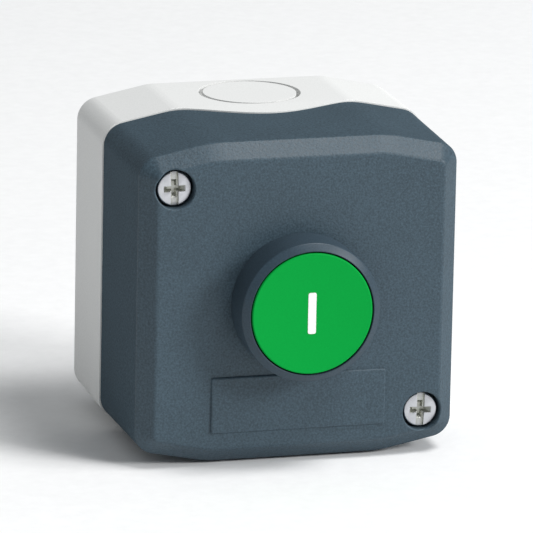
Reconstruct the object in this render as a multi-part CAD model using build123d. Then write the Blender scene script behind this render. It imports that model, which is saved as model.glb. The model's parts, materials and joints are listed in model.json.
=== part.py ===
from build123d import *

import math
import os

# One-button wall station: a plastic case in two halves, a flush push button in the cover
# and a contact block on the base. All sizes are in millimetres.
#
# Every piece is drawn on the bench, where X is right, Y is up and Z runs from the wall
# towards the user. STAND then turns the piece up against the wall: the back face lies in
# the plane y = 0, the button faces -Y and +Z is up.
STAND = Rot(90, 0, 0)

# Case outline, as seen from the front
CASE_W = 68.0
CASE_H = 68.0
VERTEX_X = 18.6                  # half the flat length of the top and bottom edges
SLOPE = math.radians(11.5)       # fall of the outline from there to the corners
CORNER_R = 5.0
BASE_VERTEX_R = 10.0
COVER_VERTEX_R = 24.0
MIN_INNER_R = 0.8

# Case depth, measured from the wall
CASE_D = 53.0
SEAM = 22.8                      # seam between base and cover at the sides
SEAM_CREST = 29.6                # the seam bows forward round the cable entries
BOW_HALF_W = 22.0
BEVEL_RUN = 3.3
BEVEL_D = 3.1
BASE_DRAFT = 0.8                 # degrees
COVER_DRAFT = 0.6                # degrees
RIM_STEP = 0.3                   # the base's rim stands this far outside the cover
SEAM_GAP = 0.05
BACK_EDGE_R = 0.5
WALL = 2.5
FLOOR = 2.5
FACE_BACK = CASE_D - WALL
CREASE = CASE_D - BEVEL_D
CREASE_R = 0.6
FACE_EDGE_R = 1.2

# Cover screws, and the sealing loop that passes inside them
SCREW_PLACES = [(-26.4, 24.7), (26.4, -24.7)]
SCREW_R = 1.95
SCREW_HOLE_R = 2.3
SCREW_HEAD_R = 3.55
SCREW_HEAD_H = 2.6
SCREW_CROWN = 0.9
SCREW_SLOT = 1.2                 # width and depth of the slot
SCREW_CROSS_L = 4.4
COUNTERBORE_R = 4.05
COUNTERBORE_EDGE_R = 0.25
SCREW_SEAT = 48.6
SEAL_RING_H = 0.9
SCREW_END = 13.0
TUBE_R = 5.25
KEEP_OFF = 5.4                   # sealing loop's distance from a screw's axis
CORNER_BLOCK = 20.0              # reaches from a screw's axis to beyond the case's corner
LIP_INSET = 2.9
LIP_T = 2.0
LIP_START = 20.5
LIP_END = 32.0
GASKET_H = 2.2
SKIRT_GAP = 0.2
SKIRT_T = 1.0
SKIRT_START = 30.5
FLANGE_T = 1.8
INSERT_R = 2.9
INSERT_BORE_R = 1.97
INSERT_START = 13.2
INSERT_GAP = 0.2
INSERT_GROOVE_D = 0.4
INSERT_GROOVE_HALF_H = 0.8
PILOT_START = 10.5

# Cable entries, one in the top wall and one in the bottom wall
ENTRY_DEPTH = 12.0
ENTRY_R = 10.6
ENTRY_DISC_R = 9.7
ENTRY_GROOVE = 1.6

# Wall screw holes, on the diagonal that the cover screws leave free
WALL_HOLES = [(19.0, 27.0), (-19.0, -27.0)]
WALL_HOLE_R = 2.15
WALL_BOSS_R = 4.2
WALL_BOSS_H = 1.5
WALL_PAD_R = 6.0                 # flat pad round each hole on the back

# Shallow pockets in the back, between a rim and a cross of ribs
POCKET_D = 0.8
POCKET_RIM = 4.0
POCKET_RIB_W = 5.0
POCKET_CORNER_R = 1.0

# Label field moulded on the face
LABEL_W = 36.8
LABEL_H = 11.8
LABEL_Y = -20.9
LABEL_PROUD = 0.45
LABEL_CORNER_R = 0.5
LABEL_EDGE_R = 0.4

# Push-button head, for the standard 22.5 mm hole
HOLE_R = 11.25
BARREL_R = 11.1
BARREL_END = 40.0
BARREL_FLOOR = 42.0
BEZEL_R = 14.5
BEZEL_TOP = CASE_D + 9.3
BEZEL_MOUTH_R = 12.9
BEZEL_FLOOR = CASE_D + 2.0
BEZEL_EDGE_R = 0.9
BEZEL_LIP_R = 0.25
BORE_R = 9.3
STEM_HOLE_R = 2.75
KEY_W = 3.0
KEY_REACH = 12.4
KEY_START = 50.6
KEY_CLEARANCE = 0.15
NUT_R = 14.2
NUT_BORE_R = 11.12
NUT_H = 4.8
NUT_NOTCHES = 8
NUT_NOTCH_W = 3.0
NUT_NOTCH_D = 1.4
NUT_NOTCH_ROOF = 2.0
NUT_EDGE = 0.4
GROOVE_R = 10.4
GROOVE_START = 53.8
GASKET_RECESS_IN = 11.5
GASKET_RING_IN = 12.5            # clears the locating key
GASKET_RING_OUT = 13.6
GASKET_RING_H = 0.9
RING_SLACK = 0.1                 # of a soft ring in its groove

# Button: cap, symbol and plunger
TRAVEL = 4.3
CAP_R = 12.6
CAP_T = 2.7
CAP_EDGE_R = 0.35
CAP_DISH = 0.45                  # depth of the hollow in the cap's face
CAP_BOSS_R = 5.0
CAP_BOSS_H = 1.0
SYMBOL_W = 1.7
SYMBOL_H = 8.6
SYMBOL_DEPTH = 0.6
SYMBOL_PROUD = 0.04
PLUNGER_R = 9.24
PLUNGER_DISC_T = 2.2
PLUNGER_SKIRT_R = 7.9
PLUNGER_SKIRT_END = 48.0
STEM_R = 2.4
STEM_END = 34.0
CLIP_R = 3.7
CLIP_START = 38.8
CLIP_T = 0.8
CLIP_GROOVE_R = 1.9
CLIP_MOUTH = 2.8
BUTTON_SPRING_R = 5.4
BUTTON_SPRING_WIRE_R = 0.4
CAP_BASE = BEZEL_TOP - CAP_T

# Contact block, one normally open contact, clipped on the base
BLOCK_HALF_W = 8.0
BLOCK_HALF_H = 18.0
PLATE_START = 4.5
PLATE_T = 1.5
PLATE_HALF_H = 20.8
BLOCK_START = PLATE_START + PLATE_T
BLOCK_END = 25.2
BLOCK_ROOF = 1.5
BLOCK_SIDE = 1.2
BLOCK_CORNER_R = 1.0
WELL_SLACK = 0.3
CLAMP_ROOM = 4.0                 # height of the wire's way in, above the terminal tab
RIB_START_Y = 10.0
CHAMBER_HALF_H = 10.4
HOOK_LIP = 1.6
HOOK_T = 2.0
HOOK_HALF_W = 4.0

# Contact parts
CONTACT_TRAVEL = 2.6
CONTACT_GAP = CONTACT_TRAVEL + 0.02
CAGE_START = 13.0
CAGE_END = 23.5
CAGE_SILL = 1.6
CAGE_LINTEL = 1.5
CAGE_HALF_W = 4.0
CAGE_POST_W = 1.4
CAGE_HALF_H = 2.5
FOLLOWER_R = 2.5
FOLLOWER_HOLE_R = 2.56
FOLLOWER_END = STEM_END - 0.05
SPIGOT_R = 1.0
SPIGOT_L = 1.8
BRIDGE_HALF_L = 8.0
BRIDGE_HALF_W = 2.3
BRIDGE_T = 0.8
BRIDGE_CORNER_R = 0.8
RETURN_SPRING_R = 1.9
RETURN_SPRING_WIRE_R = 0.2
PRESSURE_SPRING_R = 1.5
PRESSURE_SPRING_WIRE_R = 0.18
SPRING_TURNS = 6
TIP_Y = 6.5
TIP_R = 1.5
TIP_T = 0.7
STRIP_T = 0.8
STRIP_HALF_W = 2.3
STRIP_START_Y = 4.8
RISER_Y = 11.5
TAB_END_Y = 16.8
TAB_TOP = 17.0
TERMINAL_Y = 14.2
CLAMP_HALF = 2.9
CLAMP_T = 1.0
CLAMP_CORNER_R = 0.5
CLAMP_HOLE_SLACK = 0.2
TERMINAL_SCREW_R = 1.7
TERMINAL_HEAD_R = 3.1
TERMINAL_HEAD_H = 2.2
TERMINAL_CROWN = 0.5
TERMINAL_SLOT = 0.9
TERMINAL_CROSS_L = 3.6
TERMINAL_SCREW_L = 5.0
THREAD_SLACK = 0.03

CROSS_DEEPER = 1.5               # depth of a cross recess over the slot's depth
EPS = 0.05


def disc(radius, low, high, x=0.0, y=0.0):
    """Round solid between two depths."""
    return extrude(Pos(x, y, low) * Circle(radius), high - low)


def ring(outer, inner, low, high, x=0.0, y=0.0):
    """Disc with a round hole."""
    return disc(outer, low, high, x, y) - disc(inner, low - 1, high + 1, x, y)


def block(x_span, y_span, z_span):
    """Box from three (low, high) pairs."""
    spans = (x_span, y_span, z_span)
    sizes = [high - low for low, high in spans]
    middle = [(high + low) / 2 for low, high in spans]
    return Pos(*middle) * Box(*sizes)


def slab(area, low, high):
    """Flat area made solid between two depths."""
    return extrude(Pos(0, 0, low) * area, high - low)


def group(pieces):
    """Several loose solids as one part."""
    return Part() + pieces


def outline(inset, vertex_r=BASE_VERTEX_R):
    """Eight-sided front outline of the case, drawn in by inset all round."""
    half_w = CASE_W / 2 - inset
    half_h = CASE_H / 2 - inset
    vertex_x = VERTEX_X - inset * math.tan(SLOPE / 2)
    corner_y = CASE_H / 2 - (half_w - VERTEX_X) * math.tan(SLOPE) - inset / math.cos(SLOPE)
    top = [(half_w, corner_y), (vertex_x, half_h), (-vertex_x, half_h), (-half_w, corner_y)]
    bottom = [(-x, -y) for x, y in top]
    area = make_face(Polyline(*top, *bottom, close=True))
    corners = [v for v in area.vertices() if abs(v.X) > half_w - EPS]
    area = fillet(corners, max(CORNER_R - inset, MIN_INNER_R))
    vertices = [v for v in area.vertices() if abs(abs(v.X) - vertex_x) < EPS]
    return fillet(vertices, vertex_r)


def sealed_area(inset, keep_off):
    """Outline drawn in by inset, less the two corners that hold the cover screws."""
    area = outline(inset)
    near = (CORNER_BLOCK - keep_off) / 2
    far = CORNER_BLOCK / 2
    for x, y in SCREW_PLACES:
        out_x = math.copysign(1, x)
        out_y = math.copysign(1, y)
        area -= Pos(x, y) * Circle(keep_off)
        area -= Pos(x + out_x * near, y + out_y * far) * Rectangle(CORNER_BLOCK + keep_off, CORNER_BLOCK)
        area -= Pos(x + out_x * far, y + out_y * near) * Rectangle(CORNER_BLOCK, CORNER_BLOCK + keep_off)
    return area


def base_hull():
    """Outer form of the base, drafted towards the wall."""
    return extrude(Pos(0, 0, SEAM) * outline(0), SEAM, dir=(0, 0, -1), taper=BASE_DRAFT)


def cover_hull(inset):
    """Outer form of the cover: drafted sides and a bevel round the face."""
    area = outline(inset, COVER_VERTEX_R)
    sides = extrude(Pos(0, 0, SEAM) * area, CREASE - SEAM, taper=COVER_DRAFT)
    crease_face = sides.faces().sort_by(Axis.Z)[-1]
    bevel_angle = math.degrees(math.atan2(BEVEL_RUN, BEVEL_D))
    bevel = extrude(crease_face, BEVEL_D, dir=(0, 0, 1), taper=bevel_angle)
    return sides + bevel


def behind_seam():
    """Space behind the seam, which bows forward in the middle of the top and bottom."""
    middle = (SEAM + SEAM_CREST) / 2
    bow = Spline(
        (-BOW_HALF_W, SEAM),
        (-BOW_HALF_W / 2, middle),
        (0, SEAM_CREST),
        (BOW_HALF_W / 2, middle),
        (BOW_HALF_W, SEAM),
        tangents=((1, 0), (1, 0)),
    )
    right = [(BOW_HALF_W, SEAM), (CASE_W, SEAM), (CASE_W, -1)]
    left = [(-x, z) for x, z in reversed(right)]
    return extrude(Plane.XZ * make_face([bow, Polyline(*right, *left)]), CASE_H, both=True)


def entry_grooves():
    """Ring grooves that leave a thin web round each cable entry."""
    surface = CASE_H / 2 - (SEAM - ENTRY_DEPTH) * math.tan(math.radians(BASE_DRAFT))
    groove = ring(ENTRY_R, ENTRY_DISC_R, surface - ENTRY_GROOVE, surface + WALL)
    return [Pos(0, 0, ENTRY_DEPTH) * Rot(turn, 0, 0) * groove for turn in (-90, 90)]


def base_housing():
    """Rear half of the case, with screw pillars, sealing lip and block clips."""
    hull = base_hull()
    back_edges = hull.edges().group_by(Axis.Z)[0]
    body = fillet(back_edges, BACK_EDGE_R) + (cover_hull(0) & behind_seam())
    body += slab(sealed_area(LIP_INSET, KEEP_OFF), SEAM, LIP_END)
    room = sealed_area(WALL, KEEP_OFF + LIP_T)
    mouth = sealed_area(LIP_INSET + LIP_T, KEEP_OFF + LIP_T)
    body -= slab(room, FLOOR, LIP_START)
    body -= slab(mouth, LIP_START - EPS, LIP_END + 1)
    for x, y in SCREW_PLACES:
        body -= disc(INSERT_R, PILOT_START, SEAM + 1, x, y)
    for x, y in WALL_HOLES:
        body += disc(WALL_BOSS_R, FLOOR - EPS, FLOOR + WALL_BOSS_H, x, y)
        body -= disc(WALL_HOLE_R, -1, FLOOR + WALL_BOSS_H + 1, x, y)
    for groove in entry_grooves():
        body -= groove
    for clip in block_clips():
        body += clip
    return body - slab(back_pockets(), -1, POCKET_D)


def back_pockets():
    """Outline of the four pockets, clear of the pads round the wall holes."""
    area = outline(POCKET_RIM) - Rectangle(CASE_W, POCKET_RIB_W) - Rectangle(POCKET_RIB_W, CASE_H)
    for x, y in WALL_HOLES:
        area -= Pos(x, y) * Circle(WALL_PAD_R)
    return offset(offset(area, -POCKET_CORNER_R), POCKET_CORNER_R)


def block_clips():
    """Ribs that carry the contact block and hooks that hold its plate."""
    clips = []
    for side in (-1, 1):
        rib_y = sorted((side * RIB_START_Y, side * PLATE_HALF_H))
        clips.append(block((-BLOCK_HALF_W, BLOCK_HALF_W), rib_y, (FLOOR - EPS, PLATE_START)))
        post_y = sorted((side * (PLATE_HALF_H + EPS), side * (PLATE_HALF_H + HOOK_T)))
        hook_y = sorted((side * (PLATE_HALF_H - HOOK_LIP), side * (PLATE_HALF_H + HOOK_T)))
        post_top = BLOCK_START + HOOK_LIP
        half_w = (-HOOK_HALF_W, HOOK_HALF_W)
        clips.append(block(half_w, post_y, (FLOOR - EPS, post_top)))
        clips.append(block(half_w, hook_y, (BLOCK_START, post_top)))
    return clips


def on_counterbore(edge):
    """True for an edge round the mouth of a screw's counterbore."""
    spot = edge @ 0.5
    near = [abs(math.hypot(spot.X - x, spot.Y - y) - COUNTERBORE_R) < EPS for x, y in SCREW_PLACES]
    return any(near) and spot.Z > CREASE + EPS


def front_cover():
    """Front half of the case, with the button hole, label field and screw tubes."""
    hull = cover_hull(RIM_STEP)
    crease = [e for e in hull.edges() if abs(e.center().Z - CREASE) < EPS]
    hull = fillet(crease, CREASE_R)
    rim = [e for e in hull.edges() if abs(e.center().Z - CASE_D) < EPS]
    hull = fillet(rim, FACE_EDGE_R)
    body = hull - extrude(Pos(0, 0, SEAM) * outline(WALL), FACE_BACK - SEAM, taper=COVER_DRAFT)
    skirt_inset = LIP_INSET + LIP_T + SKIRT_GAP
    skirt_off = KEEP_OFF + LIP_T + SKIRT_GAP
    inside = sealed_area(skirt_inset + SKIRT_T, skirt_off + SKIRT_T)
    flange_start = LIP_END + GASKET_H
    body += slab(outline(WALL - SKIRT_GAP) - inside, flange_start, flange_start + FLANGE_T)
    body += slab(sealed_area(skirt_inset, skirt_off) - inside, SKIRT_START, flange_start + EPS)
    for x, y in SCREW_PLACES:
        body += disc(TUBE_R, SEAM, FACE_BACK + EPS, x, y)
        body -= disc(SCREW_HOLE_R, SEAM - 1, CASE_D + 1, x, y)
        body -= disc(COUNTERBORE_R, SCREW_SEAT, CASE_D + 1, x, y)
    mouths = [e for e in body.edges() if on_counterbore(e)]
    body = fillet(mouths, COUNTERBORE_EDGE_R)
    body -= disc(HOLE_R, FACE_BACK - 1, CASE_D + 1)
    body -= Pos(0, 0, SEAM_GAP) * behind_seam()
    notch_half = KEY_W / 2 + KEY_CLEARANCE
    notch_y = (BORE_R, KEY_REACH + KEY_CLEARANCE)
    body -= block((-notch_half, notch_half), notch_y, (FACE_BACK - 1, CASE_D + 1))
    return body + label_field()


def label_field():
    """Raised field for a marking, which carries none."""
    wide = (-LABEL_W / 2, LABEL_W / 2)
    high = (LABEL_Y - LABEL_H / 2, LABEL_Y + LABEL_H / 2)
    field = block(wide, high, (CASE_D - EPS, CASE_D + LABEL_PROUD))
    field = fillet(field.edges().filter_by(Axis.Z), LABEL_CORNER_R)
    return fillet(field.faces().sort_by(Axis.Z)[-1].edges(), LABEL_EDGE_R)


def cover_gasket():
    """Rubber loop pressed between the base's lip and the cover's flange."""
    inset = LIP_INSET + RING_SLACK
    off = KEEP_OFF + RING_SLACK
    width = LIP_T - 2 * RING_SLACK
    loop = sealed_area(inset, off) - sealed_area(inset + width, off + width)
    return slab(loop, LIP_END, LIP_END + GASKET_H)


def combination_head(radius, height, crown, slot, cross_l):
    """Domed head with a full-width slot and a deeper cross recess, seat at depth 0."""
    head = disc(radius, 0, height)
    dome_r = (radius ** 2 + crown ** 2) / (2 * crown)
    head &= Pos(0, 0, height - dome_r) * Sphere(dome_r)
    narrow = (-slot / 2, slot / 2)
    arms = (-cross_l / 2, cross_l / 2)
    cross_z = (height - CROSS_DEEPER * slot, height + 1)
    head -= block(narrow, (-radius - 1, radius + 1), (height - slot, height + 1))
    head -= block(arms, narrow, cross_z)
    head -= block(narrow, arms, cross_z)
    return head


def cover_screws():
    """Two long captive screws with slot-and-cross heads."""
    seat = SCREW_SEAT + SEAL_RING_H
    screw = combination_head(SCREW_HEAD_R, SCREW_HEAD_H, SCREW_CROWN, SCREW_SLOT, SCREW_CROSS_L)
    screw += disc(SCREW_R, SCREW_END - seat, EPS)
    return group([Pos(x, y, seat) * screw for x, y in SCREW_PLACES])


def screw_seal_rings():
    """Soft rings under the cover screws' heads."""
    outer = SCREW_HEAD_R - RING_SLACK
    top = SCREW_SEAT + SEAL_RING_H
    inner = SCREW_R + THREAD_SLACK
    return group([ring(outer, inner, SCREW_SEAT, top, x, y) for x, y in SCREW_PLACES])


def threaded_inserts():
    """Knurled brass inserts in the base's pillars."""
    inserts = []
    for x, y in SCREW_PLACES:
        insert = ring(INSERT_R, INSERT_BORE_R, INSERT_START, SEAM - INSERT_GAP, x, y)
        middle = (INSERT_START + SEAM) / 2
        groove_z = (middle - INSERT_GROOVE_HALF_H, middle + INSERT_GROOVE_HALF_H)
        insert -= ring(INSERT_R + 1, INSERT_R - INSERT_GROOVE_D, *groove_z, x, y)
        inserts.append(insert)
    return group(inserts)


def bezel_body():
    """Round bezel with the threaded barrel that passes through the cover."""
    bezel = disc(BEZEL_R, CASE_D, BEZEL_TOP) - disc(BEZEL_MOUTH_R, BEZEL_FLOOR, BEZEL_TOP + 1)
    rims = bezel.edges().filter_by(GeomType.CIRCLE).group_by(Axis.Z)[-1].sort_by(SortBy.RADIUS)
    bezel = fillet(rims[-1], BEZEL_EDGE_R)
    rims = bezel.edges().filter_by(GeomType.CIRCLE).group_by(Axis.Z)[-1].sort_by(SortBy.RADIUS)
    bezel = fillet(rims[0], BEZEL_LIP_R)
    recess = (CASE_D - EPS, CASE_D + GASKET_RING_H)
    bezel -= ring(GASKET_RING_OUT + RING_SLACK, GASKET_RECESS_IN, *recess)
    bezel += disc(BARREL_R, BARREL_END, BEZEL_FLOOR - EPS)
    bezel += block((-KEY_W / 2, KEY_W / 2), (BORE_R + 1, KEY_REACH), (KEY_START, CASE_D + GASKET_RING_H))
    bezel -= disc(BORE_R, BARREL_FLOOR, BEZEL_FLOOR + 1)
    bezel -= disc(STEM_HOLE_R, BARREL_END - 1, BARREL_FLOOR + 1)
    return bezel - disc(GROOVE_R, GROOVE_START, BEZEL_FLOOR + EPS)


def head_gasket():
    """Flat ring that seals the bezel to the face."""
    return ring(GASKET_RING_OUT, GASKET_RING_IN, CASE_D, CASE_D + GASKET_RING_H)


def fixing_nut():
    """Castellated ring nut that clamps the head to the cover."""
    nut = ring(NUT_R, NUT_BORE_R, FACE_BACK - NUT_H, FACE_BACK)
    rim = nut.edges().filter_by(GeomType.CIRCLE).group_by(Axis.Z)[0].sort_by(SortBy.RADIUS)[-1]
    nut = chamfer(rim, NUT_EDGE)
    notch_x = (NUT_R - NUT_NOTCH_D, NUT_R + 1)
    notch = block(notch_x, (-NUT_NOTCH_W / 2, NUT_NOTCH_W / 2), (0, FACE_BACK - NUT_NOTCH_ROOF))
    for i in range(NUT_NOTCHES):
        nut -= Rot(0, 0, 360 * i / NUT_NOTCHES) * notch
    return nut


def lip_seal():
    """Soft ring in the bezel's floor that wipes the plunger."""
    return ring(GROOVE_R, BORE_R, GROOVE_START, BEZEL_FLOOR - RING_SLACK)


def dish(lift=0.0):
    """Large ball that hollows the cap's face."""
    ball_r = (CAP_R ** 2 + CAP_DISH ** 2) / (2 * CAP_DISH)
    return Pos(0, 0, BEZEL_TOP - CAP_DISH + ball_r + lift) * Sphere(ball_r)


def button_cap():
    """Coloured cap, slightly hollow, level with the bezel's rim."""
    cap = disc(CAP_R, CAP_BASE, BEZEL_TOP)
    rim = cap.edges().filter_by(GeomType.CIRCLE).sort_by(Axis.Z)[-1]
    cap = fillet(rim, CAP_EDGE_R)
    cap -= dish()
    cap += disc(CAP_BOSS_R, CAP_BASE - CAP_BOSS_H, CAP_BASE + EPS)
    return cap - symbol_bar(0.0)


def symbol_bar(proud):
    """Upright bar, the general sign for start, sunk in the cap's face."""
    area = RectangleRounded(SYMBOL_W, SYMBOL_H, SYMBOL_W / 4)
    floor = BEZEL_TOP - CAP_DISH - SYMBOL_DEPTH
    return slab(area, floor, BEZEL_TOP + 1) - dish(proud)


def cap_symbol():
    """White inlay of the cap."""
    return symbol_bar(SYMBOL_PROUD)


def button_plunger():
    """Guide skirt and stem that carry the cap and push the contact block."""
    plunger = disc(PLUNGER_R, CAP_BASE - PLUNGER_DISC_T, CAP_BASE)
    plunger += ring(PLUNGER_R, PLUNGER_SKIRT_R, PLUNGER_SKIRT_END, CAP_BASE - EPS)
    plunger += disc(STEM_R, STEM_END, CAP_BASE - EPS)
    plunger -= disc(CAP_BOSS_R + EPS, CAP_BASE - CAP_BOSS_H - EPS, CAP_BASE + 1)
    plunger -= ring(STEM_R + 1, CLIP_GROOVE_R, CLIP_START, CLIP_START + CLIP_T)
    return plunger


def stem_clip():
    """Snap ring that keeps the plunger in the barrel."""
    clip = ring(CLIP_R, CLIP_GROOVE_R, CLIP_START, CLIP_START + CLIP_T)
    mouth_x = (-CLIP_MOUTH / 2, CLIP_MOUTH / 2)
    return clip - block(mouth_x, (-CLIP_R - 1, 0), (CLIP_START - 1, CLIP_START + CLIP_T + 1))


def coil(mean_r, wire_r, low, high):
    """Helical compression spring standing between two depths."""
    rise = high - low - 2 * (wire_r + EPS)
    path = Pos(0, 0, low + wire_r + EPS) * Helix(rise / SPRING_TURNS, rise, mean_r)
    section = Plane(origin=path @ 0, z_dir=path % 0) * Circle(wire_r)
    return sweep(section, path)


def button_return_spring():
    """Spring that lifts the plunger off the barrel's floor."""
    return coil(BUTTON_SPRING_R, BUTTON_SPRING_WIRE_R, BARREL_FLOOR, CAP_BASE - PLUNGER_DISC_T)


def contact_return_spring():
    """Spring that lifts the contact follower."""
    return coil(RETURN_SPRING_R, RETURN_SPRING_WIRE_R, BLOCK_START, CAGE_START)


def contact_pressure_spring():
    """Spring in the cage that presses the bridge on its sill."""
    bridge_top = CAGE_START + CAGE_SILL + BRIDGE_T
    lintel = CAGE_END - CAGE_LINTEL
    return coil(PRESSURE_SPRING_R, PRESSURE_SPRING_WIRE_R, bridge_top, lintel)


def contact_block_cover():
    """Plate that closes the block's back and slides under the base's hooks."""
    wide = (-BLOCK_HALF_W, BLOCK_HALF_W)
    plate = block(wide, (-PLATE_HALF_H, PLATE_HALF_H), (PLATE_START, BLOCK_START))
    return fillet(plate.edges().filter_by(Axis.Z), BLOCK_CORNER_R)


def contact_block_body():
    """Moulded housing of the contact, with two screw wells at its ends."""
    wide = (-BLOCK_HALF_W, BLOCK_HALF_W)
    body = block(wide, (-BLOCK_HALF_H, BLOCK_HALF_H), (BLOCK_START, BLOCK_END))
    body = fillet(body.edges().filter_by(Axis.Z), BLOCK_CORNER_R)
    inner = BLOCK_HALF_W - BLOCK_SIDE
    chamber_top = BLOCK_END - BLOCK_ROOF
    body -= block((-inner, inner), (-CHAMBER_HALF_H, CHAMBER_HALF_H), (BLOCK_START - 1, chamber_top))
    body -= disc(FOLLOWER_HOLE_R, chamber_top - 1, BLOCK_END + 1)
    strip_x = (-STRIP_HALF_W - EPS, STRIP_HALF_W + EPS)
    strip_z = (fixed_strip_top() - STRIP_T - EPS, TAB_TOP + EPS)
    well_low = TAB_TOP - EPS
    clamp_half = CLAMP_HALF + WELL_SLACK
    for side in (-1, 1):
        slot_y = sorted((side * (CHAMBER_HALF_H - 1), side * (TAB_END_Y + EPS)))
        body -= block(strip_x, slot_y, strip_z)
        body -= disc(TERMINAL_HEAD_R + WELL_SLACK, well_low, BLOCK_END + 1, 0, side * TERMINAL_Y)
        clamp_y = sorted((side * (TERMINAL_Y - clamp_half), side * (BLOCK_HALF_H + 1)))
        body -= block((-clamp_half, clamp_half), clamp_y, (well_low, TAB_TOP + CLAMP_ROOM))
    return body


def fixed_strip_top():
    """Depth of the fixed strips' upper face: one tip and one gap below the moving tip."""
    moving_tip = CAGE_START + CAGE_SILL - TIP_T
    return moving_tip - CONTACT_GAP - TIP_T


def fixed_contact(side):
    """Bent strip from the contact tip to its terminal, on one side of the block."""
    top = fixed_strip_top()
    wide = (-STRIP_HALF_W, STRIP_HALF_W)
    foot_y = sorted((side * STRIP_START_Y, side * RISER_Y))
    riser_y = sorted((side * (RISER_Y - STRIP_T), side * RISER_Y))
    tab_y = sorted((side * (RISER_Y - STRIP_T), side * TAB_END_Y))
    strip = block(wide, foot_y, (top - STRIP_T, top))
    strip += block(wide, riser_y, (top - STRIP_T, TAB_TOP))
    strip += block(wide, tab_y, (TAB_TOP - STRIP_T, TAB_TOP))
    hole_r = TERMINAL_SCREW_R + THREAD_SLACK
    return strip - disc(hole_r, TAB_TOP - STRIP_T - 1, TAB_TOP + 1, 0, side * TERMINAL_Y)


def fixed_contact_upper():
    """Fixed contact of the upper terminal."""
    return fixed_contact(1)


def fixed_contact_lower():
    """Fixed contact of the lower terminal."""
    return fixed_contact(-1)


def fixed_contact_tips():
    """Silver tips riveted on the two fixed contacts."""
    top = fixed_strip_top()
    return group([disc(TIP_R, top, top + TIP_T, 0, side * TIP_Y) for side in (-1, 1)])


def contact_plunger():
    """Follower with the cage that carries the contact bridge."""
    half_w = (-CAGE_HALF_W, CAGE_HALF_W)
    half_h = (-CAGE_HALF_H, CAGE_HALF_H)
    opening_x = (-CAGE_HALF_W + CAGE_POST_W, CAGE_HALF_W - CAGE_POST_W)
    opening_z = (CAGE_START + CAGE_SILL, CAGE_END - CAGE_LINTEL)
    cage = block(half_w, half_h, (CAGE_START, CAGE_END))
    cage -= block(opening_x, (-CAGE_HALF_H - 1, CAGE_HALF_H + 1), opening_z)
    cage += disc(FOLLOWER_R, CAGE_END - EPS, FOLLOWER_END)
    cage += disc(SPIGOT_R, CAGE_START - SPIGOT_L, CAGE_START + EPS)
    return cage


def contact_bridge():
    """Moving contact strip that spans the two fixed contacts."""
    low = CAGE_START + CAGE_SILL
    wide = (-BRIDGE_HALF_W, BRIDGE_HALF_W)
    bridge = block(wide, (-BRIDGE_HALF_L, BRIDGE_HALF_L), (low, low + BRIDGE_T))
    return fillet(bridge.edges().filter_by(Axis.Z), BRIDGE_CORNER_R)


def bridge_tips():
    """Silver tips riveted on the ends of the bridge."""
    top = CAGE_START + CAGE_SILL
    return group([disc(TIP_R, top - TIP_T, top, 0, side * TIP_Y) for side in (-1, 1)])


def terminal_clamps():
    """Square clamping washers under the terminal screws."""
    half = (-CLAMP_HALF, CLAMP_HALF)
    clamp = block(half, half, (0, CLAMP_T))
    clamp = fillet(clamp.edges().filter_by(Axis.Z), CLAMP_CORNER_R)
    clamp -= disc(TERMINAL_SCREW_R + CLAMP_HOLE_SLACK, -1, CLAMP_T + 1)
    return group([Pos(0, side * TERMINAL_Y, TAB_TOP) * clamp for side in (-1, 1)])


def terminal_screws():
    """Two terminal screws with slot-and-cross heads."""
    sizes = (TERMINAL_HEAD_R, TERMINAL_HEAD_H, TERMINAL_CROWN, TERMINAL_SLOT, TERMINAL_CROSS_L)
    screw = combination_head(*sizes)
    screw += disc(TERMINAL_SCREW_R, -TERMINAL_SCREW_L, EPS)
    seat = TAB_TOP + CLAMP_T
    return group([Pos(0, side * TERMINAL_Y, seat) * screw for side in (-1, 1)])


PIECES = [
    base_housing,
    front_cover,
    cover_gasket,
    cover_screws,
    screw_seal_rings,
    threaded_inserts,
    bezel_body,
    head_gasket,
    fixing_nut,
    lip_seal,
    button_cap,
    cap_symbol,
    button_plunger,
    stem_clip,
    button_return_spring,
    contact_block_body,
    contact_block_cover,
    contact_plunger,
    contact_return_spring,
    contact_bridge,
    bridge_tips,
    contact_pressure_spring,
    fixed_contact_upper,
    fixed_contact_lower,
    fixed_contact_tips,
    terminal_clamps,
    terminal_screws,
]

os.makedirs("parts", exist_ok=True)
for make in PIECES:
    export_step(STAND * make(), f"parts/{make.__name__}.step")
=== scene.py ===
import json
import math

import bmesh
import bpy
from mathutils import Matrix, Vector


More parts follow.
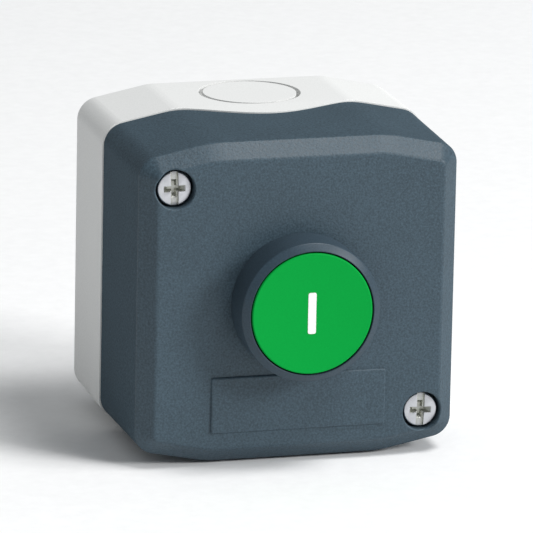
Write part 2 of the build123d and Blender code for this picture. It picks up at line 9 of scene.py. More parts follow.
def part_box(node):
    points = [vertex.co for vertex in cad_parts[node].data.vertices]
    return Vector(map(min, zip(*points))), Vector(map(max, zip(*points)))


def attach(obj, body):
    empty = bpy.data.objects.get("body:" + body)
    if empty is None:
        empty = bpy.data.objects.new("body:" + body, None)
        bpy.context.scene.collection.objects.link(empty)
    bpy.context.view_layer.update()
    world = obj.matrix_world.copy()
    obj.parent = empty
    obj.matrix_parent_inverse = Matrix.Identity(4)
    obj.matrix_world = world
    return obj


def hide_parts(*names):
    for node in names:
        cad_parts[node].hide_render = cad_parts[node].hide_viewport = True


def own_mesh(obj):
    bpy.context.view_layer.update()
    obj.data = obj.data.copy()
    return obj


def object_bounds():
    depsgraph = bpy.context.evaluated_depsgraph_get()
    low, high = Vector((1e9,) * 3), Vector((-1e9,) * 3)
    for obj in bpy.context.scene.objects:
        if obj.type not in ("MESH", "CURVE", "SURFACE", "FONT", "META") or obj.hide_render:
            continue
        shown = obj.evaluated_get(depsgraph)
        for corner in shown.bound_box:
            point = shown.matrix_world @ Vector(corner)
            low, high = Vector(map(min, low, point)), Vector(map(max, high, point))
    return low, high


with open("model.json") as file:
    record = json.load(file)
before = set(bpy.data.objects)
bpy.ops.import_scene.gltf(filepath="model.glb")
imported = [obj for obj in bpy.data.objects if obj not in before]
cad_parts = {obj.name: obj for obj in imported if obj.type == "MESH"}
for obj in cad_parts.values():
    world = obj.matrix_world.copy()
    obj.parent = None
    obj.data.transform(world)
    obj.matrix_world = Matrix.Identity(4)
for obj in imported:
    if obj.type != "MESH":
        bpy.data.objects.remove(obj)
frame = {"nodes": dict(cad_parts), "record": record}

cad_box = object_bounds()

# A one-button wall station, in metres. X is right, the button faces -Y and +Z is up.
# A depth is a distance in front of the wall, so depth d lies at y = -d.
MM = 0.001
NODES = frame["nodes"]


def span(node_name, axis):
    """Lowest and highest coordinate of a CAD node along one axis."""
    low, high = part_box(node_name)
    return low[axis], high[axis]


def depths(node_name):
    """Least and greatest depth of a CAD node."""
    low, high = span(node_name, 1)
    return -high, -low


def corner_centre(node_name, radius):
    """How far out the centres of a round pair lie along X and Z."""
    return span(node_name, 0)[1] - radius, span(node_name, 2)[1] - radius


# ---------------------------------------------------------------- camera, light and floor

AIM = Vector((-0.5, -29.3, 1.1)) * MM
CAMERA_AZIMUTH = math.radians(-15.87)
CAMERA_ELEVATION = math.radians(15.23)
CAMERA_ROLL = math.radians(1.14)
CAMERA_DISTANCE = 1.459
CAMERA_LENS = 479.3
SENSOR = 36.0


def make_camera():
    """Long-lens camera at the upper left of the station."""
    turn = Matrix.Rotation(CAMERA_AZIMUTH, 4, "Z")
    tilt = Matrix.Rotation(math.pi / 2 - CAMERA_ELEVATION, 4, "X")
    roll = Matrix.Rotation(CAMERA_ROLL, 4, "Z")
    pose = turn @ tilt @ roll
    data = bpy.data.cameras.new("camera")
    data.lens = CAMERA_LENS
    data.sensor_width = SENSOR
    data.clip_start = 0.05
    camera = bpy.data.objects.new("camera", data)
    bpy.context.scene.collection.objects.link(camera)
    camera.matrix_world = Matrix.Translation(AIM + pose.to_3x3() @ Vector((0, 0, CAMERA_DISTANCE))) @ pose
    bpy.context.scene.camera = camera


def softbox(name, place, size, power):
    """Square area light that points at the station."""
    data = bpy.data.lights.new(name, "AREA")
    data.shape = "SQUARE"
    data.size = size
    data.energy = power
    lamp = bpy.data.objects.new(name, data)
    lamp.location = place
    lamp.rotation_mode = "QUATERNION"
    lamp.rotation_quaternion = (AIM - Vector(place)).to_track_quat("-Z", "Y")
    bpy.context.scene.collection.objects.link(lamp)


def make_lights():
    """Overhead softbox, stronger key at the right, and an even pale surround."""
    softbox("overhead", (0.66, -0.52, 1.76), 0.7, 22.0)
    softbox("key", (1.72, -1.50, 1.05), 0.7, 41.0)
    world = bpy.data.worlds.new("surround")
    world.use_nodes = True
    background = world.node_tree.nodes["Background"]
    background.inputs["Color"].default_value = (0.95, 0.98, 1.0, 1)
    background.inputs["Strength"].default_value = 0.32
    bpy.context.scene.world = world
    bpy.context.scene.view_settings.view_transform = "Standard"


# ---------------------------------------------------------------- materials


def node(tree, kind, inputs=None, **settings):
    """Adds a shader node. Its inputs are values or other nodes' output sockets."""
    made = tree.nodes.new(kind)
    for key, value in settings.items():
        setattr(made, key, value)
    for key, value in (inputs or {}).items():
        if isinstance(value, bpy.types.NodeSocket):
            tree.links.new(value, made.inputs[key])
        else:
            made.inputs[key].default_value = value
    return made


def new_material(name):
    """Material with an empty principled shader: (material, tree, shader)."""
    made = bpy.data.materials.new(name)
    made.use_nodes = True
    tree = made.node_tree
    return made, tree, tree.nodes["Principled BSDF"]


def place_of(tree):
    """Object coordinates, which are metres."""
    return node(tree, "ShaderNodeTexCoord").outputs["Object"]


def noise(tree, place, size, detail, roughness):
    """Noise whose features are about size metres across."""
    inputs = {"Vector": place, "Scale": 1 / size, "Detail": detail, "Roughness": roughness}
    return node(tree, "ShaderNodeTexNoise", inputs).outputs["Fac"]


def pits(tree, place, size):
    """Round cells about size metres across, 0 at their middles."""
    inputs = {"Vector": place, "Scale": 1 / size, "Smoothness": 0.6}
    return node(tree, "ShaderNodeTexVoronoi", inputs, feature="SMOOTH_F1").outputs["Distance"]


def remap(tree, value, low, high, out_low, out_high):
    """Linear map of a value from one range to another, clamped."""
    inputs = {"Value": value, "From Min": low, "From Max": high, "To Min": out_low, "To Max": out_high}
    return node(tree, "ShaderNodeMapRange", inputs).outputs["Result"]


def mixed(tree, share, first, second):
    """Colour between two colours, by a share."""
    made = node(tree, "ShaderNodeMix", {0: share, 6: first, 7: second}, data_type="RGBA")
    return made.outputs[2]


def maths(tree, operation, first, second):
    """Arithmetic on two values."""
    return node(tree, "ShaderNodeMath", {0: first, 1: second}, operation=operation).outputs[0]


def scaled(colour, factor):
    """Colour made lighter or darker, as RGBA."""
    return tuple(min(1.0, c * factor) for c in colour) + (1.0,)


def soft_normal(tree, radius):
    """Surface normal with the sharp edges rounded off."""
    return node(tree, "ShaderNodeBevel", {"Radius": radius}, samples=4).outputs["Normal"]


def edge_mask(tree, normal):
    """1 on outer edges and 0 on open faces, from how far rounding turns the normal."""
    plain = node(tree, "ShaderNodeNewGeometry").outputs["Normal"]
    same = node(tree, "ShaderNodeVectorMath", {0: normal, 1: plain}, operation="DOT_PRODUCT")
    return remap(tree, same.outputs["Value"], 0.985, 0.8, 0.0, 1.0)


def bumped(tree, shader, height, depth, normal):
    """Raises the surface by a height texture, depth metres from 0 to 1."""
    inputs = {"Height": height, "Distance": depth, "Strength": 1.0, "Normal": normal}
    tree.links.new(node(tree, "ShaderNodeBump", inputs).outputs["Normal"], shader.inputs["Normal"])


def glancing_roughness(tree):
    """Roughness that rises at glancing angles, where grain hides the gloss."""
    facing = node(tree, "ShaderNodeLayerWeight", {"Blend": 0.5}).outputs["Facing"]
    return remap(tree, facing, 0.3, 0.7, 0.0, 0.95)


def moulded(name, colour, grain, depth, roughness, mottle, edge_highlight=0.0, specular=0.5):
    """Moulded plastic: spark-eroded grain, slight mottling, and edges painted paler as a highlight if
    asked.
    """
    speckle = 4.0 * mottle
    made, tree, shader = new_material(name)
    place = place_of(tree)
    fine = noise(tree, place, grain, 4.0, 0.6)
    cells = pits(tree, place, grain * 1.7)
    clouds = noise(tree, place, 18 * MM, 3.0, 0.55)
    dark, pale = scaled(colour, 1 - mottle), scaled(colour, 1 + mottle)
    shade = mixed(tree, remap(tree, clouds, 0.3, 0.7, 0, 1), dark, pale)
    shade = mixed(tree, remap(tree, fine, 0.5, 0.7, 0, 1), shade, scaled(colour, 1 + speckle))
    shade = mixed(tree, remap(tree, fine, 0.5, 0.3, 0, 1), shade, scaled(colour, 1 - speckle))
    normal = soft_normal(tree, 0.12 * MM)
    # Painted highlight: the outer edges are made paler in the colour itself, as if lit.
    if edge_highlight:
        painted_edge_light = maths(tree, "MULTIPLY", edge_mask(tree, normal), remap(tree, fine, 0.4, 0.6, 0.3, 1.0))
        shade = mixed(tree, maths(tree, "MULTIPLY", painted_edge_light, edge_highlight), shade, scaled(colour, 1.8))
    tree.links.new(shade, shader.inputs["Base Color"])
    gloss = remap(tree, maths(tree, "ADD", fine, clouds), 0.7, 1.3, roughness - 0.06, roughness + 0.06)
    tree.links.new(maths(tree, "MAXIMUM", gloss, glancing_roughness(tree)), shader.inputs["Roughness"])
    shader.inputs["Specular IOR Level"].default_value = specular
    height = maths(tree, "ADD", fine, maths(tree, "MULTIPLY", cells, 0.5))
    bumped(tree, shader, height, depth, normal)
    return made


def metal(name, colour, roughness):
    """Metal with fine scratches, cloudy tarnish, edges painted brighter as a highlight and hollows painted
    darker and warmer as shade.
    """
    made, tree, shader = new_material(name)
    # Darker, warmer copy of the colour, used for the painted shade in hollows.
    red, green, blue, _ = scaled(colour, 0.75)
    place = place_of(tree)
    scratches = noise(tree, place, 0.22 * MM, 4.0, 0.7)
    clouds = noise(tree, place, 2.5 * MM, 3.0, 0.6)
    normal = soft_normal(tree, 0.06 * MM)
    dull = remap(tree, clouds, 0.35, 0.75, 0, 0.25)
    shade = mixed(tree, dull, scaled(colour, 1.0), scaled(colour, 0.55))
    # Painted highlight: edges made brighter in the colour itself.
    bright = maths(tree, "MULTIPLY", edge_mask(tree, normal), 0.5)
    shade = mixed(tree, bright, shade, scaled(colour, 1.25))
    # Painted shade: hollows are darkened and warmed in the colour by ambient occlusion.
    hollows = node(tree, "ShaderNodeAmbientOcclusion", {"Distance": 1.2 * MM}, samples=8, only_local=True)
    hollow_shade = remap(tree, hollows.outputs["AO"], 1.0, 0.75, 0.0, 1.0)
    shade = mixed(tree, hollow_shade, shade, (red, green, blue * 0.87, 1.0))
    tree.links.new(shade, shader.inputs["Base Color"])
    shader.inputs["Metallic"].default_value = 1.0
    gloss = remap(tree, maths(tree, "ADD", scratches, clouds), 0.7, 1.3, roughness - 0.08, roughness + 0.12)
    tree.links.new(gloss, shader.inputs["Roughness"])
    bumped(tree, shader, scratches, 0.004 * MM, normal)
    return made


def rubber(name, colour):
    """Soft matt rubber with a powdery bloom."""
    made, tree, shader = new_material(name)
    place = place_of(tree)
    fine = noise(tree, place, 0.2 * MM, 3.0, 0.6)
    bloom = noise(tree, place, 4 * MM, 4.0, 0.65)
    shade = mixed(tree, remap(tree, bloom, 0.4, 0.8, 0, 0.6), scaled(colour, 1.0), scaled(colour, 3.0))
    tree.links.new(shade, shader.inputs["Base Color"])
    tree.links.new(remap(tree, bloom, 0.3, 0.7, 0.72, 0.9), shader.inputs["Roughness"])
    bumped(tree, shader, fine, 0.01 * MM, soft_normal(tree, 0.15 * MM))
    return made


def make_materials():
    """One material for each slot of the record, and the floor's. The plastics' numbers are grain
    size and depth, roughness, mottling, painted edge highlight and specular level, the metals' roughness."""
    slate, ink = (0.044, 0.072, 0.094), (0.029, 0.051, 0.071)
    white, green = (0.765, 0.77, 0.76), (0.0015, 0.315, 0.045)
    print_white, natural_grey, pale = (0.84, 0.85, 0.84), (0.42, 0.43, 0.41), (0.95, 0.95, 0.95)
    black, soot, leaf = (0.014, 0.015, 0.017), (0.022, 0.024, 0.027), (0.015, 0.28, 0.06)
    fine, finer = 0.3 * MM, 0.25 * MM
    return {
        "base_plastic": moulded("white_abs", white, fine, 0.006 * MM, 0.5, 0.012, 0.9, 0.3),
        "cover_plastic": moulded("slate_abs", slate, 0.42 * MM, 0.05 * MM, 0.42, 0.08, 0.3, 0.32),
        "bezel_plastic": moulded("dark_polyamide", ink, fine, 0.012 * MM, 0.38, 0.05, 0.3, 0.3),
        "cap_plastic": moulded("green_acetal", green, fine, 0.002 * MM, 0.5, 0.01, 0.0, 0.05),
        "symbol_plastic": moulded("white_print", print_white, fine, 0.002 * MM, 0.5, 0.01, 0.0, 0.1),
        "plunger_plastic": moulded("grey_acetal", natural_grey, fine, 0.004 * MM, 0.45, 0.03),
        "nut_plastic": moulded("black_polyamide", black, fine, 0.012 * MM, 0.5, 0.08, 0.2),
        "block_plastic": moulded("block_polyamide", soot, finer, 0.008 * MM, 0.45, 0.08, 0.2),
        "follower_plastic": moulded("follower_green", leaf, finer, 0.004 * MM, 0.4, 0.04),
        "floor": moulded("studio_floor", pale, 3 * MM, 0.01 * MM, 0.7, 0.005),
        "zinc_steel": metal("zinc_steel", (0.59, 0.60, 0.63), 0.4),
        "spring_steel": metal("spring_steel", (0.50, 0.51, 0.52), 0.28),
        "insert_brass": metal("brass", (0.80, 0.58, 0.24), 0.30),
        "contact_copper": metal("copper_alloy", (0.82, 0.50, 0.30), 0.32),
        "tip_silver": metal("silver", (0.86, 0.86, 0.84), 0.25),
        "seal_rubber": rubber("nitrile_rubber", (0.012, 0.012, 0.013)),
    }


# ---------------------------------------------------------------- mesh building


def add_object(name, mesh):
    """New object in the scene."""
    made = bpy.data.objects.new(name, mesh)
    bpy.context.scene.collection.objects.link(made)
    return made


def mesh_object(name, verts, faces):
    """New object from points and faces."""
    mesh = bpy.data.meshes.new(name)
    mesh.from_pydata(verts, [], faces)
    return add_object(name, mesh)


def make_floor():
    """Wide pale floor under the case."""
    reach = 4.0
    corners = [(-reach, -reach), (reach, -reach), (reach, reach), (-reach, reach)]
    floor = mesh_object("floor", [(x, y, cad_box[0].z) for x, y in corners], [(0, 1, 2, 3)])
    floor.data.materials.append(MATERIALS["floor"])


def tidy(mesh):
    """Welded points, outward normals, and smooth shading except across sharp edges."""
    work = bmesh.new()
    work.from_mesh(mesh)
    bmesh.ops.remove_doubles(work, verts=work.verts, dist=1e-7)
    bmesh.ops.dissolve_degenerate(work, edges=work.edges, dist=1e-7)
    bmesh.ops.recalc_face_normals(work, faces=work.faces)
    work.to_mesh(mesh)
    work.free()
    mesh.shade_smooth()
    mesh.set_sharp_from_angle(angle=math.radians(32))


def applied(obj):
    """The object with its modifiers turned into mesh."""
    bpy.context.view_layer.update()
    mesh = bpy.data.meshes.new_from_object(obj.evaluated_get(bpy.context.evaluated_depsgraph_get()))
    obj.modifiers.clear()
    obj.data = mesh
    return obj


def combined(target, others, operation):
    """Cuts the other solids out of the target, or welds them to it."""
    for other in others:
        change = target.modifiers.new("combine", "BOOLEAN")
        change.operation = operation
        change.solver = "EXACT"
        change.object = other
    applied(target)
    for other in others:
        bpy.data.objects.remove(other)
    return target


def softened(obj, width, segments=2, angle=math.radians(35)):
    """Rounds the sharp edges with real geometry."""
    bevel = obj.modifiers.new("soften", "BEVEL")
    bevel.width = width
    bevel.segments = segments
    bevel.limit_method = "ANGLE"
    bevel.angle_limit = angle
    return applied(obj)


def joined(name, objects):
    """Several objects as one mesh, with points that meet welded."""
    work = bmesh.new()
    for obj in objects:
        work.from_mesh(obj.data)
        bpy.data.objects.remove(obj)
    mesh = bpy.data.meshes.new(name)
    work.to_mesh(mesh)
    work.free()
    tidy(mesh)
    return add_object(name, mesh)


def finish_piece(name, obj, body, slot, source):
    """Name, shading, material and body of a finished piece, and the CAD node it stands for."""
    obj.name = name
    tidy(obj.data)
    obj.data.materials.clear()
    obj.data.materials.append(MATERIALS[slot])
    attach(obj, body)
    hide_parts(source)
    return obj


def spun(profile, centre=(0.0, 0.0), segments=96, closed=True):
    """Solid of revolution about a line along Y. The profile holds (radius, depth) pairs, where a
    radius may be a function of the angle. A closed profile is a loop, an open one starts and ends
    on the axis, and None leaves a gap, which a thread fills."""
    verts, faces, rings = [], [], []
    for pair in profile:
        if pair is None:
            rings.append(None)
            continue
        radius, depth = pair
        start = len(verts)
        count = 1 if not callable(radius) and radius < 1e-9 else segments
        for i in range(count):
            angle = 2 * math.pi * i / segments
            r = radius(angle) if callable(radius) else radius
            verts.append((centre[0] + r * math.cos(angle), -depth, centre[1] + r * math.sin(angle)))
        rings.append(list(range(start, start + count)))
    pairs = list(zip(rings, rings[1:]))
    if closed:
        pairs.append((rings[-1], rings[0]))
    for first, second in pairs:
        if first is None or second is None:
            continue
        for i in range(segments):
            j = (i + 1) % segments
            loop = [first[i % len(first)], first[j % len(first)]]
            loop += [second[j % len(second)], second[i % len(second)]]
            corners = list(dict.fromkeys(loop))
            if len(corners) > 2:
                faces.append(corners)
    return mesh_object("spun", verts, faces)


def thread_sleeve(outer, inner, start, end, pitch, origin=None, centre=(0.0, 0.0), segments=96):
    """Open tube with a right-hand thread that fades out at both ends, where its radius is outer.
    Threads with the same origin and pitch mate."""
    origin = start if origin is None else origin
    first_turn = math.floor((start - origin) / pitch) - 1
    last_turn = math.ceil((end - origin) / pitch)
    shape = ((0.0, inner), (0.125, inner), (0.5, outer), (0.625, outer))
    turns = range(first_turn, last_turn + 1)
    marks = [(turn + share, radius) for turn in turns for share, radius in shape]
    verts = []
    for i in range(segments + 1):
        angle = 2 * math.pi * i / segments
        for turn, radius in marks:
            depth = min(end, max(start, origin + pitch * (turn + i / segments)))
            fade = min(1.0, (depth - start) / pitch, (end - depth) / pitch)
            r = outer + (radius - outer) * fade
            verts.append((centre[0] + r * math.cos(angle), -depth, centre[1] + r * math.sin(angle)))
    row = len(marks)
    faces = []
    for i in range(segments):
        for k in range(row - 1):
            here, ahead = i * row + k, (i + 1) * row + k
            faces.append((here, here + 1, ahead + 1, ahead))
    return mesh_object("thread", verts, faces)


def rounded(corners, steps=4):
    """Closed outline through (across, depth, rounding) corners, each turned into an arc."""
    points = []
    count = len(corners)
    for i, (across, depth, rounding) in enumerate(corners):
        here = Vector((across, depth))
        before = Vector(corners[i - 1][:2]) - here
        after = Vector(corners[(i + 1) % count][:2]) - here
        if rounding <= 0:
            points.append((across, depth))
            continue
        half = before.angle(after) / 2
        reach = min(rounding / math.tan(half), before.length * 0.49, after.length * 0.49)
        start = here + before.normalized() * reach
        end = here + after.normalized() * reach
        for k in range(steps + 1):
            t = k / steps
            points.append(tuple((1 - t) ** 2 * start + 2 * t * (1 - t) * here + t ** 2 * end))
    return points


def prism(wide, tall, low, high, shrink=1.0, turn=0.0, centre=(0.0, 0.0)):
    """Block between two depths, turned about its own axis, with its low end shrunk."""
    verts = []
    for depth, scale in ((low, shrink), (high, 1.0)):
        for x, z in ((-1, -1), (1, -1), (1, 1), (-1, 1)):
            across = Matrix.Rotation(turn, 2) @ Vector((x * wide, z * tall)) * (scale / 2)
            verts.append((centre[0] + across.x, -depth, centre[1] + across.y))
    faces = [(0, 1, 2, 3), (7, 6, 5, 4)]
    faces += [(i, i + 4, (i + 1) % 4 + 4, (i + 1) % 4) for i in range(4)]
    made = mesh_object("prism", verts, faces)
    tidy(made.data)
    return made


def refine(name, source, body, slot, width, segments=2):
    """A CAD node's shape with its sharp edges softened by real roundings."""
    made = add_object(name, NODES[source].data.copy())
    work = bmesh.new()
    work.from_mesh(made.data)
    bmesh.ops.remove_doubles(work, verts=work.verts, dist=1e-6)
    bmesh.ops.dissolve_limit(work, angle_limit=math.radians(0.5), verts=work.verts, edges=work.edges)
    work.to_mesh(made.data)
    work.free()
    return finish_piece(name, softened(made, width, segments), body, slot, source)


# ---------------------------------------------------------------- screws and inserts

COVER_PITCH = 0.7 * MM


def driver_recess(centre, top, slot, cross, turn):
    """Cutters for a full-width slot, half as deep as wide, with a deeper tapered cross. Both
    start above the head, where the cross is wider than at the face."""
    above = top + 1 * MM
    slot_floor, cross_floor = top - 0.5 * slot, top - 1.2 * slot
    arm_l, arm_w, taper = cross * 1.3, slot * 1.05, 0.4
    cutters = [prism(slot, 20 * MM, slot_floor, above, 1.0, turn, centre)]
    for quarter in (0, 1):
        angle = turn + quarter * math.pi / 2
        cutters.append(prism(arm_l, arm_w, cross_floor, above, taper, angle, centre))
    return cutters


def screw(centre, seat, top, head_r, shank_r, end, pitch, slot, cross, turn):
    """Pan-head screw with a slot-and-cross recess and a real thread."""
    point = shank_r * 0.65
    start = end + shank_r - point
    stop = end + 0.45 * (seat - end)
    crown = 0.12 * (top - seat)
    edge = 0.3 * MM
    head = [
        (shank_r, seat, 0),
        (head_r, seat, edge / 2),
        (head_r, top - crown, edge),
        (0, top, 0),
    ]
    profile = [(0.0, end), (point, end), (shank_r, start), None, (shank_r, stop)] + rounded(head)
    blank = spun(profile, centre, 64, closed=False)
    sleeve = thread_sleeve(shank_r, shank_r * 0.84, start, stop, pitch, None, centre, 64)
    made = joined("screw", [blank, sleeve])
    combined(made, driver_recess(centre, top, slot, cross, math.radians(turn)), "DIFFERENCE")
    return softened(made, 0.09 * MM, 2, math.radians(38))


def make_cover_screws():
    """The two bright cover screws, on opposite corners."""
    end, top = depths("cover_screws")
    seat = depths("screw_seal_rings")[1]
    head_r, shank_r = 3.5 * MM, 1.95 * MM
    slot, cross = 1.6 * MM, 4.6 * MM
    x, z = corner_centre("screw_seal_rings", SEAL_RING_R)
    parts = []
    for side, turn in ((-1, 1.5), (1, -2.0)):
        place = (side * x, -side * z)
        sizes = (seat, top, head_r, shank_r, end, COVER_PITCH, slot, cross)
        parts.append(screw(place, *sizes, turn))
    finish_piece("case_screws", joined("screws", parts), "case", "zinc_steel", "cover_screws")


def make_terminal_screws():
    """The two terminal screws of the contact block."""
    end, top = depths("terminal_screws")
    seat = depths("terminal_clamps")[1]
    head_r, shank_r = span("terminal_screws", 0)[1], 1.67 * MM
    pitch, slot, cross = 0.6 * MM, 0.95 * MM, 3.4 * MM
    z = span("terminal_screws", 2)[1] - head_r
    parts = []
    for side, turn in ((-1, 25.0), (1, -40.0)):
        sizes = (seat, top, head_r, shank_r, end, pitch, slot, cross)
        parts.append(screw((0.0, side * z), *sizes, turn))
    made = joined("screws", parts)
    finish_piece("clamping_screws", made, "case", "zinc_steel", "terminal_screws")


def make_inserts():
    """Brass inserts with straight knurls either side of a groove, and a threaded bore."""
    low, high = depths("threaded_inserts")
    outer, groove, bore = 2.9 * MM, 2.5 * MM, 1.97 * MM
    knurl_l, edge, teeth, tooth_h, thread_h = 3.5 * MM, 0.25 * MM, 24, 0.12 * MM, 0.28 * MM

    def knurl(angle):
        """Outer radius, with pointed teeth."""
        return outer - tooth_h * abs(2 * ((angle * teeth / (2 * math.pi)) % 1.0) - 1)

    profile = [
        (bore, low),
        (groove, low),
        (knurl, low + edge),
        (knurl, low + knurl_l),
        (groove, low + knurl_l + edge),
        (groove, high - knurl_l - edge),
        (knurl, high - knurl_l),
        (knurl, high - edge),
        (groove, high),
        (bore, high),
        None,
    ]
    x, z = corner_centre("threaded_inserts", outer)
    parts = []
    for side in (-1, 1):
        place = (side * x, -side * z)
        shell = spun(profile, place)
        sleeve = thread_sleeve(bore, bore + thread_h, low, high, COVER_PITCH, None, place)
        parts.append(joined("insert", [shell, sleeve]))
    made = joined("inserts", parts)
    finish_piece("brass_inserts", made, "case", "insert_brass", "threaded_inserts")


# ---------------------------------------------------------------- push-button head

SEAL_RING_R = 3.45 * MM
BARREL_R = 11.1 * MM
BORE_R = 9.3 * MM
THREAD_PITCH = 1.5 * MM
THREAD_DEPTH = 0.85 * MM
THREAD_START = depths("bezel_body")[0] + 0.8 * MM
FACE, GASKET_TOP = depths("head_gasket")


def make_bezel():
    """Round bezel with its threaded barrel and locating key."""
    back, top = depths("bezel_body")
    outer = span("bezel_body", 0)[1]
    seal_low, seal_high = depths("lip_seal")
    seal_r = span("lip_seal", 0)[1]
    floor = seal_high + 0.1 * MM
    spring_floor = back + 2 * MM
    stem_hole_r, mouth_r = 2.75 * MM, 12.9 * MM
    recess_in, recess_out = 11.5 * MM, 13.7 * MM
    rim_fall, rim_edge = 1.0 * MM, 0.15 * MM
    stop = FACE - 0.3 * MM
    corners = [
        (stem_hole_r, back, 0.3 * MM),
        (stem_hole_r, spring_floor, 0.3 * MM),
        (BORE_R, spring_floor, 0.6 * MM),
        (BORE_R, seal_low, 0),
        (seal_r, seal_low, 0),
        (seal_r, floor, 0.1 * MM),
        (mouth_r, floor, 0.4 * MM),
        (mouth_r, top, 0.15 * MM),
        (outer - rim_edge, top - rim_fall, 0.15 * MM),
        (outer, top - rim_fall - rim_edge, 0.2 * MM),
        (outer, FACE, 0.15 * MM),
        (recess_out, FACE, 0),
        (recess_out, GASKET_TOP, 0.1 * MM),
        (recess_in, GASKET_TOP, 0.1 * MM),
        (recess_in, FACE, 0),
        (BARREL_R, FACE, 0),
        (BARREL_R, stop, 0),
    ]
    tail = [None, (BARREL_R, THREAD_START), (BARREL_R - 0.5 * MM, back)]
    profile = rounded(corners, 6) + tail
    shell = spun(profile, segments=144)
    root = BARREL_R - THREAD_DEPTH
    sleeve = thread_sleeve(BARREL_R, root, THREAD_START, stop, THREAD_PITCH, segments=144)
    body = joined("bezel", [shell, sleeve])
    key_low = depths("fixing_nut")[1] + 0.1 * MM
    key = prism(3.0 * MM, 2.4 * MM, key_low, FACE + 0.5 * MM, centre=(0, 11.2 * MM))
    combined(body, [key], "UNION")
    finish_piece("bezel", body, "case", "bezel_plastic", "bezel_body")


def make_nut():
    """Castellated ring nut whose thread mates with the barrel's."""
    low, high = depths("fixing_nut")
    outer = span("fixing_nut", 0)[1]
    bore = BARREL_R + 0.02 * MM
    edge = 0.4 * MM
    profile = [
        (bore, low),
        (outer - edge, low),
        (outer, low + edge),
        (outer, high),
        (bore, high),
        None,
    ]
    shell = spun(profile, segments=144)
    ridge = bore - THREAD_DEPTH + 0.02 * MM
    sleeve = thread_sleeve(bore, ridge, low, high, THREAD_PITCH, THREAD_START, segments=144)
    body = joined("nut", [shell, sleeve])
    count, notch_w, notch_l, roof = 8, 3.0 * MM, 2.8 * MM, 2 * MM
    notches = []
    for i in range(count):
        angle = 2 * math.pi / count * i
        place = (outer * math.cos(angle), outer * math.sin(angle))
        notches.append(prism(notch_l, notch_w, low - 1 * MM, high - roof, turn=angle, centre=place))
    combined(body, notches, "DIFFERENCE")
    finish_piece("ring_nut", body, "case", "nut_plastic", "fixing_nut")


def section(inner, outer, low, high, edge):
    """Rectangular section of a ring, with every corner rounded."""
    return rounded([(inner, low, edge), (outer, low, edge), (outer, high, edge), (inner, high, edge)])


def make_head_gasket():
    """Flat ring between the bezel and the face."""
    inner, outer = 12.5 * MM, span("head_gasket", 0)[1]
    made = spun(section(inner, outer, FACE, GASKET_TOP, 0.3 * MM), segments=144)
    finish_piece("bezel_gasket", made, "case", "seal_rubber", "head_gasket")


def make_lip_seal():
    """Soft ring whose lip wipes the plunger."""
    low, high = depths("lip_seal")
    outer = span("lip_seal", 0)[1]
    heel = (low + high) / 2 - 0.1 * MM
    corners = [
        (outer, low, 0.1 * MM),
        (outer, high, 0.2 * MM),
        (BORE_R + 0.45 * MM, high, 0.2 * MM),
        (BORE_R, heel + 0.3 * MM, 0.1 * MM),
        (BORE_R, heel, 0.05 * MM),
        (BORE_R + 0.5 * MM, low, 0.2 * MM),
    ]
    made = spun(rounded(corners), segments=144)
    finish_piece("wiper_ring", made, "case", "seal_rubber", "lip_seal")


def make_screw_rings():
    """The two soft rings under the heads of the cover screws."""
    low, high = depths("screw_seal_rings")
    x, z = corner_centre("screw_seal_rings", SEAL_RING_R)
    profile = section(1.98 * MM, SEAL_RING_R, low, high, 0.4 * MM)
    rings = [spun(profile, (side * x, -side * z), 64) for side in (-1, 1)]
    made = joined("rings", rings)
    finish_piece("screw_washers", made, "case", "seal_rubber", "screw_seal_rings")


# ---------------------------------------------------------------- springs


def coil(mean_r, wire_r, low, high, turns):
    """Compression spring with closed, ground ends."""
    segments, sides = 32, 12
    lead_in = 2 * wire_r
    count = round((turns + 2) * segments)
    verts, faces = [], []
    for i in range(count + 1):
        turn = i / segments
        angle = 2 * math.pi * turn
        open_share = min(1.0, max(0.0, (turn - 1) / turns))
        closed_rise = lead_in * (min(turn, 1.0) + max(0.0, turn - 1 - turns))
        depth = low + closed_rise + (high - low - 2 * lead_in) * open_share
        for k in range(sides):
            across = 2 * math.pi * k / sides
            r = mean_r + wire_r * math.cos(across)
            d = min(high, max(low, depth + wire_r * math.sin(across)))
            verts.append((r * math.cos(angle), -d, r * math.sin(angle)))
    for i in range(count):
        for k in range(sides):
            n = (k + 1) % sides
            faces.append((i * sides + k, i * sides + n, (i + 1) * sides + n, (i + 1) * sides + k))
    faces.append(tuple(range(sides)))
    faces.append(tuple(count * sides + k for k in range(sides)))
    return mesh_object("coil", verts, faces)


def make_spring(name, source, body, mean_r, wire_r, turns):
    """Spring in place of its CAD node. It reaches a
    little past its node at both ends, onto the seats."""
    low, high = depths(source)
    low, high = low - 0.05 * MM, high + 0.05 * MM
    piece = finish_piece(name, coil(mean_r, wire_r, low, high, turns), body, "spring_steel", source)
    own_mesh(piece)


def make_springs():
    """The button's spring and the contact block's two."""
    make_spring(
        "plunger_spring", "button_return_spring", "case",
        mean_r=5.4 * MM, wire_r=0.4 * MM, turns=4.5,
    )
    make_spring(
        "follower_spring", "contact_return_spring", "case",
        mean_r=1.9 * MM, wire_r=0.2 * MM, turns=5,
    )
    make_spring(
        "pressure_spring", "contact_pressure_spring", "follower",
        mean_r=1.5 * MM, wire_r=0.18 * MM, turns=5,
    )


# ---------------------------------------------------------------- contact block


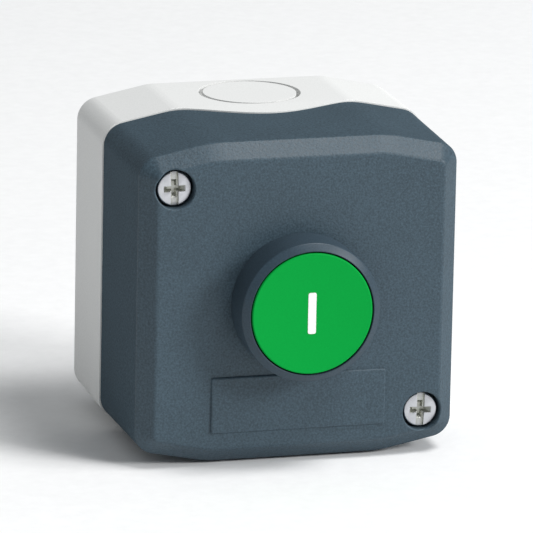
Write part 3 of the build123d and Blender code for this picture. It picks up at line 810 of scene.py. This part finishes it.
def strip(path, thickness, half_w, bend):
    """Bent metal strip along a (z, depth) path, of even thickness across X."""
    middle = rounded([(z, d, 0 if i in (0, len(path) - 1) else bend) for i, (z, d) in enumerate(path)], 6)
    sides = ([], [])
    for i, point in enumerate(middle):
        ahead = Vector(middle[min(i + 1, len(middle) - 1)])
        behind = Vector(middle[max(i - 1, 0)])
        along = (ahead - behind).normalized()
        normal = Vector((-along.y, along.x)) * (thickness / 2)
        sides[0].append(Vector(point) + normal)
        sides[1].append(Vector(point) - normal)
    outline = sides[0] + sides[1][::-1]
    count = len(outline)
    verts = [(x, -p.y, p.x) for x in (-half_w, half_w) for p in outline]
    faces = [tuple(range(count)), tuple(range(2 * count - 1, count - 1, -1))]
    faces += [(i, (i + 1) % count, (i + 1) % count + count, i + count) for i in range(count)]
    made = mesh_object("strip", verts, faces)
    tidy(made.data)
    return made


def make_fixed_contacts():
    """Bent strips of the two terminals."""
    half_w, thickness, bend = 2.3 * MM, 0.8 * MM, 0.9 * MM
    half_t = thickness / 2
    riser, hole_z, hole_r = 11.5 * MM, 14.2 * MM, 1.7 * MM
    for side, name in ((1, "fixed_contact_upper"), (-1, "fixed_contact_lower")):
        foot, tab = depths(name)
        tip_z, tab_z = sorted(abs(z) for z in span(name, 2))
        path = [
            (side * tip_z, foot + half_t),
            (side * (riser - half_t), foot + half_t),
            (side * (riser - half_t), tab - half_t),
            (side * tab_z, tab - half_t),
        ]
        made = strip(path, thickness, half_w, bend)
        below, above = tab - 2 * MM, tab + 1 * MM
        drill = [(0, below), (hole_r, below), (hole_r, above), (0, above)]
        hole = spun(drill, (0, side * hole_z), 48, closed=False)
        tidy(hole.data)
        combined(made, [hole], "DIFFERENCE")
        finish_piece(name + "_strip", softened(made, 0.08 * MM), "case", "contact_copper", name)


def tip(z, seat, face):
    """Riveted contact tip with a domed face."""
    r, steps = 1.5 * MM, 6
    rise = face - seat
    profile = [(0.0, seat), (r, seat), (r, seat + 0.55 * rise)]
    for k in range(1, steps):
        angle = k / steps * math.pi / 2
        profile.append((r * math.cos(angle), seat + rise * (0.55 + 0.45 * math.sin(angle))))
    profile.append((0.0, face))
    return spun(profile, (0.0, z), 48, closed=False)


def make_tips():
    """Silver tips of the fixed contacts and of the bridge, face to face."""
    tip_z = 6.5 * MM
    low, high = depths("fixed_contact_tips")
    fixed = joined("tips", [tip(side * tip_z, low, high) for side in (-1, 1)])
    finish_piece("fixed_tips", fixed, "case", "tip_silver", "fixed_contact_tips")
    low, high = depths("bridge_tips")
    moving = joined("tips", [tip(side * tip_z, high, low) for side in (-1, 1)])
    finish_piece("moving_tips", moving, "bridge", "tip_silver", "bridge_tips")


def make_refined_pieces():
    """Pieces whose CAD shape is right but for its sharp edges."""
    refine("sealing_loop", "cover_gasket", "case", "seal_rubber", 0.4 * MM, 3)
    refine("retaining_clip", "stem_clip", "button", "spring_steel", 0.1 * MM)
    refine("plunger", "button_plunger", "button", "plunger_plastic", 0.12 * MM)
    refine("block_housing", "contact_block_body", "case", "block_plastic", 0.12 * MM)
    refine("block_plate", "contact_block_cover", "case", "block_plastic", 0.15 * MM)
    refine("follower_cage", "contact_plunger", "follower", "follower_plastic", 0.12 * MM)
    refine("bridge_strip", "contact_bridge", "bridge", "contact_copper", 0.1 * MM)
    refine("wire_clamps", "terminal_clamps", "case", "zinc_steel", 0.12 * MM)


def dress_cad_nodes():
    """Procedural material on every CAD node, for those that stay in view."""
    for subpart in frame["record"]["subparts"]:
        mesh = NODES[subpart["node"]].data
        mesh.materials.clear()
        mesh.materials.append(MATERIALS[subpart["material_slot"]])


# ---------------------------------------------------------------- the scene

MATERIALS = make_materials()

make_camera()
make_lights()
make_floor()
dress_cad_nodes()
make_cover_screws()
make_terminal_screws()
make_inserts()
make_bezel()
make_nut()
make_head_gasket()
make_lip_seal()
make_screw_rings()
make_springs()
make_fixed_contacts()
make_tips()
make_refined_pieces()
